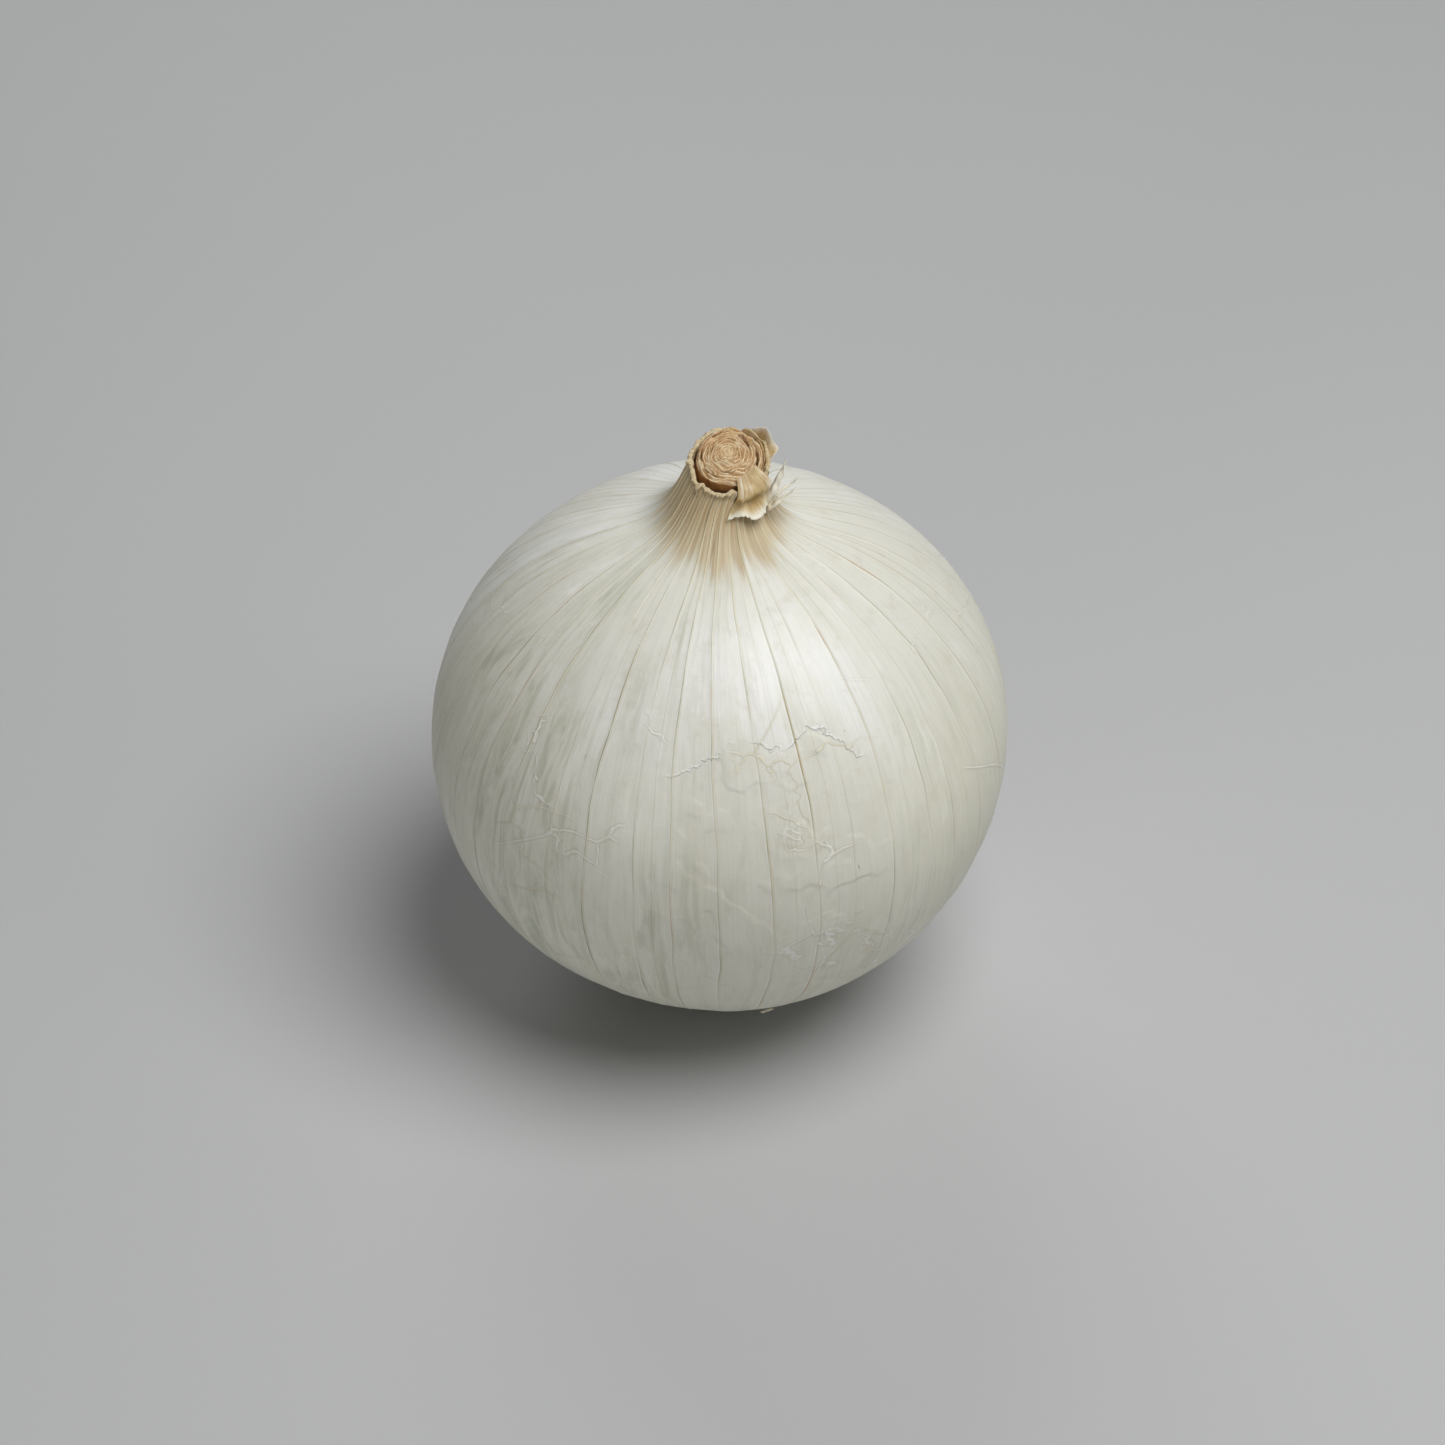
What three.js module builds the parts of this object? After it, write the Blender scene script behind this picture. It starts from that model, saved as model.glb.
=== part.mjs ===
import * as THREE from 'three';

// A white onion bulb standing on its root plate. Millimetres, +Z up, and -Y is the front.
// The origin is the middle of the root plate's flat underside.

// Driving dimensions of the bulb
const bulbRadius = 42; // half the widest width
const equatorHeight = 41.5; // the widest level above the ground
const lowerHeight = 40.8; // from the equator down to the pole over the root plate
const shoulderHeight = 38; // from the equator up to where the shoulders alone would close

// Driving dimensions of the dry neck
const neckRadius = 5.5; // outside of the collar at its rim
const flareHeight = 9.3; // how far the collar stands above the shoulders
const flareFade = 1.75; // the flare dies away outwards over this distance
const flarePower = 0.85; // under 1 makes the collar steeper at its rim
const collarWall = 0.7;
const collarDepth = 7; // depth of the hole that the core stands in
const coreRadius = 4.25;
const coreRise = 0.6; // the core's cut top above the collar's rim
const coreOffset = [0.2, 0.15]; // the core sits back and to the right in the collar
const neckLean = 1.3; // the cut top leans this far towards +X
const stripThickness = 0.5; // of the flap and the curl
const cutSlope = Math.tan(THREE.MathUtils.degToRad(19)); // the cut rises towards the back

// Driving dimensions of the root plate
const plateRadius = 8.6;
const plateThickness = 2.3;
const plateEdge = 0.35; // chamfer round the plate's underside and top

const gap = 0.3; // clearance between pieces that touch

// Segments round the turned pieces
const bulbSegments = 48;
const coreSegments = 32;
const plateSegments = 36;
const shredSegments = 10;

const shoulderTop = equatorHeight + shoulderHeight;
const rimHeight = skinHeight(neckRadius);

const skinMaterial = paperMaterial(0xe4e4da, 0.42);
const dryCoreMaterial = paperMaterial(0xc9a878, 0.85);
const dryFlapMaterial = paperMaterial(0xcdb485, 0.6);
const shredMaterial = paperMaterial(0xd9d4c2, 0.65);
const rootMaterial = paperMaterial(0xa98f6b, 0.9);

function paperMaterial(color, roughness) {
  return () => new THREE.MeshStandardMaterial({ color, roughness, metalness: 0 });
}

// Height of the skin at a given radius above the equator: half an ellipse for the shoulder,
// and a flare that grows exponentially towards the neck.
function skinHeight(radius) {
  const shoulder = shoulderHeight * Math.sqrt(1 - (radius / bulbRadius) ** 2);
  const out = Math.max(0, radius - neckRadius) / flareFade;
  return equatorHeight + shoulder + flareHeight * Math.exp(-(out ** flarePower));
}

// How far the collar's outside has spread beyond the rim's radius, at a height under the rim.
function flareSpread(height) {
  const above = Math.min(height - shoulderTop, flareHeight);
  return flareFade * Math.log(flareHeight / above) ** (1 / flarePower);
}

// A profile turned about the Z axis.
function turned(points, segments) {
  const profile = points.map(([radius, height]) => new THREE.Vector2(radius, height));
  return new THREE.LatheGeometry(profile, segments).rotateX(Math.PI / 2);
}

// Moves every vertex of a geometry by a function of its place.
function reshape(geometry, move) {
  const position = geometry.attributes.position;
  const point = new THREE.Vector3();
  for (let i = 0; i < position.count; i += 1) {
    point.fromBufferAttribute(position, i);
    move(point);
    position.setXYZ(i, point.x, point.y, point.z);
  }
  return geometry;
}

// The neck leans sideways and its cut tilts, both growing with the square of the height.
function leanNeck(point) {
  const rise = Math.max(0, (point.z - shoulderTop) / (rimHeight - shoulderTop));
  const share = rise * rise;
  point.z += share * cutSlope * point.y;
  point.x += share * neckLean;
}

// The fleshy bulb in its skin, one grown body: a dished base for the root plate, an elliptical
// belly and shoulder, a concave flare and a thin collar round the hole for the core.
function bulbGeometry() {
  const lipWidth = 0.4;
  const rimRound = 0.1;
  const recessRadius = plateRadius + gap + rimRound;
  const lipRadius = recessRadius + lipWidth;
  const recessHeight = plateThickness + gap;
  const bellySteps = 13;
  const shoulderSteps = 10;
  const flareSteps = 9;
  const flareFoot = bulbRadius / 3;
  const points = [[0, recessHeight], [recessRadius, recessHeight]];

  const lipAngle = Math.asin(lipRadius / bulbRadius);
  for (let i = 0; i <= bellySteps; i += 1) {
    const angle = THREE.MathUtils.lerp(lipAngle, Math.PI / 2, i / bellySteps);
    points.push([bulbRadius * Math.sin(angle), equatorHeight - lowerHeight * Math.cos(angle)]);
  }
  const footAngle = Math.asin(flareFoot / bulbRadius);
  for (let i = 1; i <= shoulderSteps; i += 1) {
    const angle = THREE.MathUtils.lerp(Math.PI / 2, footAngle, i / shoulderSteps);
    const radius = bulbRadius * Math.sin(angle);
    points.push([radius, skinHeight(radius)]);
  }
  for (let i = 1; i <= flareSteps; i += 1) {
    const left = 1 - i / flareSteps;
    const radius = neckRadius + (flareFoot - neckRadius) * left * left;
    points.push([radius, skinHeight(radius)]);
  }
  const boreRadius = neckRadius - collarWall;
  points.push([boreRadius, rimHeight - rimRound], [boreRadius, rimHeight - collarDepth / 2]);
  points.push([boreRadius, rimHeight - collarDepth], [0, rimHeight - collarDepth]);
  return reshape(turned(points, bulbSegments), leanNeck);
}

// The dried leaf bases inside the collar, cut across at the top.
function coreGeometry() {
  const foot = rimHeight - collarDepth + gap;
  const top = rimHeight + coreRise;
  const middle = (foot + top) / 2;
  const edge = 0.5;
  const points = [
    [0, foot], [coreRadius, foot], [coreRadius, middle],
    [coreRadius, top - edge], [coreRadius - edge, top], [0, top + edge / 2],
  ];
  const core = turned(points, coreSegments).translate(coreOffset[0], coreOffset[1], 0);
  return reshape(core, leanNeck);
}

// A strip of dry skin that wraps part of the collar. Angles are in degrees from the front
// towards +X, and spread(height) says how far the strip stands outside the rim's radius.
function collarStrip({ from, to, low, high, thickness, spread }) {
  const start = THREE.MathUtils.degToRad(from - 90);
  const end = THREE.MathUtils.degToRad(to - 90);
  const inner = neckRadius + gap;
  const outline = new THREE.Shape();
  outline.absarc(0, 0, inner + thickness, start, end, false);
  outline.absarc(0, 0, inner, end, start, true);
  outline.closePath();
  const strip = new THREE.ExtrudeGeometry(outline, {
    depth: high - low, steps: 6, curveSegments: 8, bevelEnabled: false,
  });
  strip.translate(0, 0, low);
  return reshape(strip, (point) => {
    const radius = Math.hypot(point.x, point.y);
    const scale = (radius + spread(point.z)) / radius;
    point.x *= scale;
    point.y *= scale;
    leanNeck(point);
  });
}

// The flap of skin folded down over the front right of the collar, its hem turned outwards.
function flapGeometry() {
  const drop = 5.2;
  const hemTurn = 0.8;
  const high = rimHeight - 0.1;
  return collarStrip({
    from: 6, to: 58, low: high - drop, high, thickness: stripThickness,
    spread: (height) => flareSpread(height) + hemTurn * ((high - height) / drop) ** 3,
  });
}

// The curl of skin that stands on the rim at the right and the back.
function curlGeometry() {
  const rise = 1.2;
  const low = rimHeight + gap;
  const inset = 0.6;
  const lipTurn = 0.7;
  return collarStrip({
    from: 85, to: 165, low, high: low + rise, thickness: stripThickness,
    spread: (height) => -inset + lipTurn * ((height - low) / rise) ** 2,
  });
}

// A torn shred of skin: a flat spindle, pointed at both ends, from its base to its tip.
function shredMesh(name, { base, tip, halfWidth, turn }) {
  const from = new THREE.Vector3(...base);
  const along = new THREE.Vector3(...tip).sub(from);
  const length = along.length();
  const flatness = 0.32;
  const outline = [[0, 0], [0.6, 0.12], [1, 0.35], [0.8, 0.7], [0, 1]];
  const points = outline.map(([width, share]) => [width * halfWidth, share * length]);
  const spindle = turned(points, shredSegments);
  spindle.scale(1, flatness, 1);
  spindle.rotateZ(THREE.MathUtils.degToRad(turn));
  const mesh = named(name, spindle, shredMaterial);
  mesh.position.copy(from);
  mesh.quaternion.setFromUnitVectors(new THREE.Vector3(0, 0, 1), along.normalize());
  return mesh;
}

// The woody plate that the roots grew from, trimmed flat underneath.
function plateGeometry() {
  return turned([
    [0, 0], [plateRadius - plateEdge, 0], [plateRadius, plateEdge],
    [plateRadius, plateThickness - plateEdge], [plateRadius - plateEdge, plateThickness],
    [0, plateThickness],
  ], plateSegments);
}

function named(name, geometry, material) {
  const mesh = new THREE.Mesh(geometry, material());
  mesh.name = name;
  return mesh;
}

const onion = new THREE.Group();
onion.add(
  named('bulb', bulbGeometry(), skinMaterial),
  named('neck_core', coreGeometry(), dryCoreMaterial),
  named('front_flap', flapGeometry(), dryFlapMaterial),
  named('rim_curl', curlGeometry(), dryFlapMaterial),
  shredMesh('shred_tall', {
    base: [7.2, -2.5, 83.6], tip: [8.8, -0.4, 88.6], halfWidth: 0.6, turn: 20,
  }),
  shredMesh('shred_long', {
    base: [7.7, -3.2, 82.8], tip: [10.9, -1.0, 85.9], halfWidth: 0.5, turn: 60,
  }),
  shredMesh('shred_low', {
    base: [7.8, -4.2, 81.9], tip: [10.1, -2.4, 84.8], halfWidth: 0.45, turn: 40,
  }),
  named('root_plate', plateGeometry(), rootMaterial),
);

export default onion;
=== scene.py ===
import math

import bpy
import numpy as np
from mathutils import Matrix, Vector


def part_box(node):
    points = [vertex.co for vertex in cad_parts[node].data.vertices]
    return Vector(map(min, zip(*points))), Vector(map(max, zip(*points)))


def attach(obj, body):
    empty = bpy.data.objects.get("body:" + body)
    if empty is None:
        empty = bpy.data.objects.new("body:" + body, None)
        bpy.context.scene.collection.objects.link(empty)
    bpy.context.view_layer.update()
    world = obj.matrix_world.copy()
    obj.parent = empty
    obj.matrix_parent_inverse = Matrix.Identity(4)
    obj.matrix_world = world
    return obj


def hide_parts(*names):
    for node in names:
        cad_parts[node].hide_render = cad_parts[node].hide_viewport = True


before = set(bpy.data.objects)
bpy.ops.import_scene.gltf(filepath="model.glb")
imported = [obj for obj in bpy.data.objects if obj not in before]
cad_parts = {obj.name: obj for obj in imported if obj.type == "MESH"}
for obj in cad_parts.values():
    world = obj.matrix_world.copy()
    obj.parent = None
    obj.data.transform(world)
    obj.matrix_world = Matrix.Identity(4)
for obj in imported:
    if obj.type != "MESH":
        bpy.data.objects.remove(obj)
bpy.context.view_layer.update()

mm = 0.001  # every shape below is worked out in millimetres and placed in metres
fullTurn = 2 * math.pi


def boxOf(node):
    # Lowest and highest corner of a fixed node, in millimetres.
    low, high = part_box(node)
    return np.array(low) / mm, np.array(high) / mm


def smoothStep(low, high, value):
    # 3t^2 - 2t^3 of the value's place between low and high, held at 0 and 1 outside.
    share = np.clip((value - low) / (high - low), 0.0, 1.0)
    return share * share * (3.0 - 2.0 * share)


def waves(seed, angle, height, turns, perMm, count=12):
    # Sum of cosines of (whole turns x angle + pitch x height + phase), so it closes on itself
    # round the bulb. The result is about -1 to 1.
    dice = np.random.default_rng(seed)
    total = np.zeros(np.broadcast(angle, height).shape)
    for _ in range(count):
        turn = dice.integers(turns[0], turns[1] + 1) * dice.choice((-1, 1))
        pitch = dice.uniform(-perMm, perMm) * fullTurn
        total = total + np.cos(turn * angle + pitch * height + dice.uniform(0, fullTurn))
    return total / math.sqrt(count) / 1.4


def gridNormals(points, wrap):
    # Cross product of the differences along the two directions of a grid, made unit length.
    along = np.gradient(points, axis=0)
    if wrap:
        across = (np.roll(points, -1, axis=1) - np.roll(points, 1, axis=1)) / 2
    else:
        across = np.gradient(points, axis=1)
    normal = np.cross(across, along)
    return normal / np.maximum(np.linalg.norm(normal, axis=2, keepdims=True), 1e-9)


def gridFaces(rows, columns, wrap):
    # Four corners for each cell of a grid whose vertices run row by row.
    row, column = np.meshgrid(np.arange(rows - 1), np.arange(columns if wrap else columns - 1),
                              indexing="ij")
    following = (column + 1) % columns
    corners = [row * columns + column, row * columns + following,
               (row + 1) * columns + following, (row + 1) * columns + column]
    return np.stack(corners, axis=-1).reshape(-1, 4)


def triple(first, second, third):
    # Three numbers at each point of a grid, from arrays that are each spread over the whole grid.
    return np.stack(np.broadcast_arrays(first, second, third), axis=-1)


def putMesh(name, vertices, faces, marks=None):
    # Puts arrays of millimetre vertices and faces into one smooth object that rides on the onion.
    # The marks are three numbers at each vertex, for the material to read.
    mesh = bpy.data.meshes.new(name)
    mesh.from_pydata((vertices * mm).tolist(), [], faces)
    for key, values in (marks or {}).items():
        store = mesh.attributes.new(key, "FLOAT_VECTOR", "POINT")
        store.data.foreach_set("vector", values.astype(np.float32).ravel())
    mesh.polygons.foreach_set("use_smooth", np.ones(len(mesh.polygons), dtype=bool))
    mesh.update()
    piece = bpy.data.objects.new(name, mesh)
    bpy.context.scene.collection.objects.link(piece)
    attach(piece, "root")
    return piece


def turnedPiece(name, points, marks=None):
    # A grid that wraps round its columns, with its first and last rows closed by a middle vertex.
    rows, columns = points.shape[:2]
    vertices = np.concatenate([points.reshape(-1, 3), points[[0, -1]].mean(axis=1)])
    here = np.arange(columns)
    following = (here + 1) % columns
    end = (rows - 1) * columns
    bottom = np.stack([np.full(columns, rows * columns), following, here], axis=-1)
    top = np.stack([np.full(columns, rows * columns + 1), end + here, end + following], axis=-1)
    faces = gridFaces(rows, columns, True).tolist() + bottom.tolist() + top.tolist()
    spread = {key: np.concatenate([values.reshape(-1, 3), values[[0, -1]].mean(axis=1)])
              for key, values in (marks or {}).items()}
    return putMesh(name, vertices, faces, spread)


def paperSheet(name, points, thickness, mark):
    # A sheet given as a grid of its middle surface: both faces are half a thickness away along
    # the normal, and the thin edges all round close it.
    rows, columns = points.shape[:2]
    offset = gridNormals(points, False) * thickness.reshape(-1, 1, 1) / 2
    count = rows * columns
    vertices = np.concatenate([(points + offset).reshape(-1, 3), (points - offset).reshape(-1, 3)])
    front = gridFaces(rows, columns, False)
    back = front[:, ::-1] + count
    ring = np.concatenate([np.arange(columns), np.arange(1, rows) * columns + columns - 1,
                           (rows - 1) * columns + np.arange(columns - 2, -1, -1),
                           np.arange(rows - 2, 0, -1) * columns])
    following = np.roll(ring, -1)
    rim = np.stack([following, ring, ring + count, following + count], axis=-1)
    faces = front.tolist() + back.tolist() + rim.tolist()
    return putMesh(name, vertices, faces, {"sheetMark": np.tile(mark.reshape(-1, 3), (2, 1))})


def addNode(tree, kind, inputs=None, **settings):
    # One shader node: an input that is a socket is linked, and any other is set on the node.
    node = tree.nodes.new(kind)
    for key, value in settings.items():
        setattr(node, key, value)
    for key, value in (inputs or {}).items():
        if isinstance(value, bpy.types.NodeSocket):
            tree.links.new(value, node.inputs[key])
        else:
            node.inputs[key].default_value = value
    return node


def calc(tree, operation, *values):
    # One step of arithmetic on as many values as the operation takes.
    return addNode(tree, "ShaderNodeMath", dict(enumerate(values)), operation=operation).outputs[0]


def times(tree, first, second):
    # first x second
    return calc(tree, "MULTIPLY", first, second)


def timesPlus(tree, value, factor, base):
    # value x factor + base
    return calc(tree, "MULTIPLY_ADD", value, factor, base)


def distanceTo(tree, value, target):
    # |value - target|
    return calc(tree, "ABSOLUTE", calc(tree, "SUBTRACT", value, target))


def fade(tree, value, low, high, start=0.0, end=1.0):
    # Smooth change from start to end as the value goes from low to high.
    inputs = {"Value": value, "From Min": low, "From Max": high, "To Min": start, "To Max": end}
    node = addNode(tree, "ShaderNodeMapRange", inputs, interpolation_type="SMOOTHSTEP")
    return node.outputs["Result"]


def blend(tree, share, first, second):
    # first x (1 - share) + second x share, for colours.
    node = addNode(tree, "ShaderNodeMix", data_type="RGBA")
    for socket, value in ((0, share), (6, first), (7, second)):
        if isinstance(value, bpy.types.NodeSocket):
            tree.links.new(value, node.inputs[socket])
        else:
            node.inputs[socket].default_value = value if socket == 0 else (*value, 1.0)
    return node.outputs[2]


def layer(tree, color, tint, share, strength=None):
    # Lays a tint over the colour, as much as the share, or as the share x the strength.
    return blend(tree, times(tree, share, strength) if strength else share, color, tint)


def stack(tree, base, parts):
    # The base plus every part x its own factor.
    for part, factor in parts:
        base = timesPlus(tree, part, factor, base)
    return base


def stretchedNoise(tree, place, scale, detail=3.0, roughness=0.55, shift=(0, 0, 0), distortion=0.0):
    # Noise read at a place that is first multiplied by a scale for each of its three directions,
    # or by one number for all three.
    scale = scale if isinstance(scale, tuple) else (scale,) * 3
    mapping = addNode(tree, "ShaderNodeMapping",
                      {"Vector": place, "Scale": scale, "Location": shift})
    inputs = {"Vector": mapping.outputs[0], "Scale": 1.0, "Detail": detail,
              "Roughness": roughness, "Distortion": distortion}
    return addNode(tree, "ShaderNodeTexNoise", inputs).outputs["Fac"]


def readAttribute(tree, name):
    # The value or vector that the mesh carries at each vertex, as a vector.
    return addNode(tree, "ShaderNodeAttribute", attribute_name=name).outputs["Vector"]


def readParts(tree, name):
    # The three numbers of an attribute.
    return addNode(tree, "ShaderNodeSeparateXYZ", {0: readAttribute(tree, name)}).outputs


def objectPlace(tree):
    # The place on the piece, in metres.
    return addNode(tree, "ShaderNodeTexCoord").outputs["Object"]


def newMaterial(name):
    # An empty material with a Principled shader joined to its output.
    material = bpy.data.materials.new(name)
    material.use_nodes = True
    tree = material.node_tree
    tree.nodes.clear()
    output = addNode(tree, "ShaderNodeOutputMaterial")
    shader = addNode(tree, "ShaderNodeBsdfPrincipled")
    tree.links.new(shader.outputs[0], output.inputs[0])
    return material, tree, shader


def finishSurface(tree, shader, color, roughness, reliefMm, settings=None):
    # Relief is a height in millimetres that only bends the light. The settings are numbers that
    # are the same all over the surface.
    bump = addNode(tree, "ShaderNodeBump", {"Height": reliefMm, "Distance": mm, "Strength": 1.0})
    tree.links.new(color, shader.inputs["Base Color"])
    tree.links.new(roughness, shader.inputs["Roughness"])
    tree.links.new(bump.outputs[0], shader.inputs["Normal"])
    for key, value in (settings or {}).items():
        shader.inputs[key].default_value = value


bulbShape = {
    "equatorHeight": 41.5,
    "lowerHeight": 40.8,
    "shoulderHeight": 38.0,
    "neckRadius": 5.5,      # outside of the collar at its rim
    "flareHeight": 9.3,
    "flareFade": 1.75,
    "flarePower": 0.85,
    "collarWall": 0.62,
    "innerDepth": 4.6,      # how far the inside of the collar is made, down to the dark
    "neckLean": 1.3,
    "cutTilt": 19,          # degrees, the cut rises towards the back
    "veins": 40,
    "veinJitter": 0.13,     # in vein spacings
    "veinWander": 0.2,
    "unevenness": 0.28,     # mm, slow dents and swellings
    "panelBulge": 0.07,
    "veinRidge": 0.06,
    "ridgeWidth": 0.2,
    "pleats": 0.13,         # mm, ribs of the dry neck
    "crumple": 0.03,
    "ragged": 0.42,         # mm, how far the rim is torn up and down
    "lumps": 0.52,          # mm, crinkles of the rim in and out
    "roll": 0.34,           # mm, how far the rim rolls out
    "neckZone": (17, 3.0),  # mm from the rim, where the ribs start and are full
    "bodyZone": (6, 26),
    "baseZone": (9.5, 20),  # mm from the axis
    "tornLength": 21.5,     # mm above the widest level, where the outer skin is torn
    "tornBack": 9.0,        # mm, how much higher the tear is at the back
    "dryReach": 10.0,       # mm from the rim, where the dry streaks end on average
}

# Waves over the bulb: seed, whole turns round it, most turns per mm along it, and how many.
bulbWaves = {
    "wander": (3, (1, 7), 0.012, 12),
    "wanderMore": (4, (3, 12), 0.06, 12),
    "wanderFine": (5, (9, 30), 0.14, 20),
    "veinPower": (6, (8, 19), 0.03, 12),
    "unevenness": (7, (1, 4), 0.015, 12),
    "crumple": (8, (5, 26), 0.16, 40),
    "pleats": (9, (9, 22), 0.02, 9),
    "warmth": (12, (6, 20), 0.03, 12),
    "tear": (21, (2, 6), 0, 6),
    "tearMore": (22, (7, 17), 0, 8),
    "tearFine": (23, (19, 41), 0, 14),
    "lumps": (24, (4, 15), 0.3, 16),
    "lumpsFine": (25, (12, 36), 0.5, 26),
    "lumpsPart": (26, (3, 11), 0.3, 12),
}
bulbRadius = (boxOf("bulb")[1][0] - boxOf("bulb")[0][0]) / 2
shoulderTop = bulbShape["equatorHeight"] + bulbShape["shoulderHeight"]


def skinHeight(radius):
    # Half an ellipse for the shoulder and a flare that grows exponentially towards the neck.
    shoulder = bulbShape["shoulderHeight"] * np.sqrt(1 - np.clip(radius / bulbRadius, 0, 1) ** 2)
    out = np.maximum(radius - bulbShape["neckRadius"], 0) / bulbShape["flareFade"]
    flare = np.exp(-out ** bulbShape["flarePower"])
    return bulbShape["equatorHeight"] + shoulder + bulbShape["flareHeight"] * flare


def bellyHeight(radius):
    # Half an ellipse below the widest level: height of the bulb's underside at a radius.
    share = np.clip(radius / bulbRadius, 0, 1)
    return bulbShape["equatorHeight"] - bulbShape["lowerHeight"] * np.sqrt(1 - share ** 2)


rimHeight = float(skinHeight(bulbShape["neckRadius"]))


def flareSpread(height):
    # How far the collar has spread beyond its rim, at a height under the rim.
    above = np.clip(height - shoulderTop, 0.4, bulbShape["flareHeight"])
    grown = np.log(bulbShape["flareHeight"] / above) ** (1 / bulbShape["flarePower"])
    return bulbShape["flareFade"] * grown


def leanNeck(points):
    # The neck leans sideways and its cut tilts, both with the square of the height.
    rise = np.maximum(0, (points[..., 2] - shoulderTop) / (rimHeight - shoulderTop))
    share = rise * rise
    slope = math.tan(math.radians(bulbShape["cutTilt"]))
    moved = points.copy()
    moved[..., 0] += share * bulbShape["neckLean"]
    moved[..., 2] += share * slope * points[..., 1]
    return moved


def bulbProfile():
    # Radius and height from the middle of the underside, out over the belly and the shoulder,
    # up the flare, over the rim and down inside the collar.
    shape = bulbShape
    wall, neck = shape["collarWall"], shape["neckRadius"]
    dish = np.array([[1.5, 2.75], [4.5, 2.7], [7.4, 2.5], [8.6, 2.1], [9.2, 1.85]])
    lipRadius = 9.8
    angle = np.linspace(math.asin(lipRadius / bulbRadius), math.pi / 2, 52)
    belly = np.stack([bulbRadius * np.sin(angle),
                      shape["equatorHeight"] - shape["lowerHeight"] * np.cos(angle)], axis=-1)
    foot = bulbRadius / 3
    radius = bulbRadius * np.sin(np.linspace(math.pi / 2, math.asin(foot / bulbRadius), 40)[1:])
    shoulder = np.stack([radius, skinHeight(radius)], axis=-1)
    radius = neck + (foot - neck) * np.linspace(1, 0, 56)[1:] ** 1.7
    flare = np.stack([radius, skinHeight(radius)], axis=-1)
    turn = np.linspace(0, math.pi, 7)[1:]
    rim = np.stack([neck - wall / 2 + wall / 2 * np.cos(turn), rimHeight + 0.2 * np.sin(turn)],
                   axis=-1)
    down = rimHeight - shape["innerDepth"] * np.linspace(0, 1, 12)[1:] ** 1.4
    inside = np.stack([np.full(len(down), neck - wall), down], axis=-1)
    closing = np.array([[2.5, rimHeight - shape["innerDepth"] - 0.1]])
    return np.concatenate([dish, belly, shoulder, flare, rim, inside, closing])


def ripple(name, angle, height):
    # The bulb's waves of that name.
    seed, turns, perMm, count = bulbWaves[name]
    return waves(seed, angle, height, turns, perMm, count)


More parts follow.
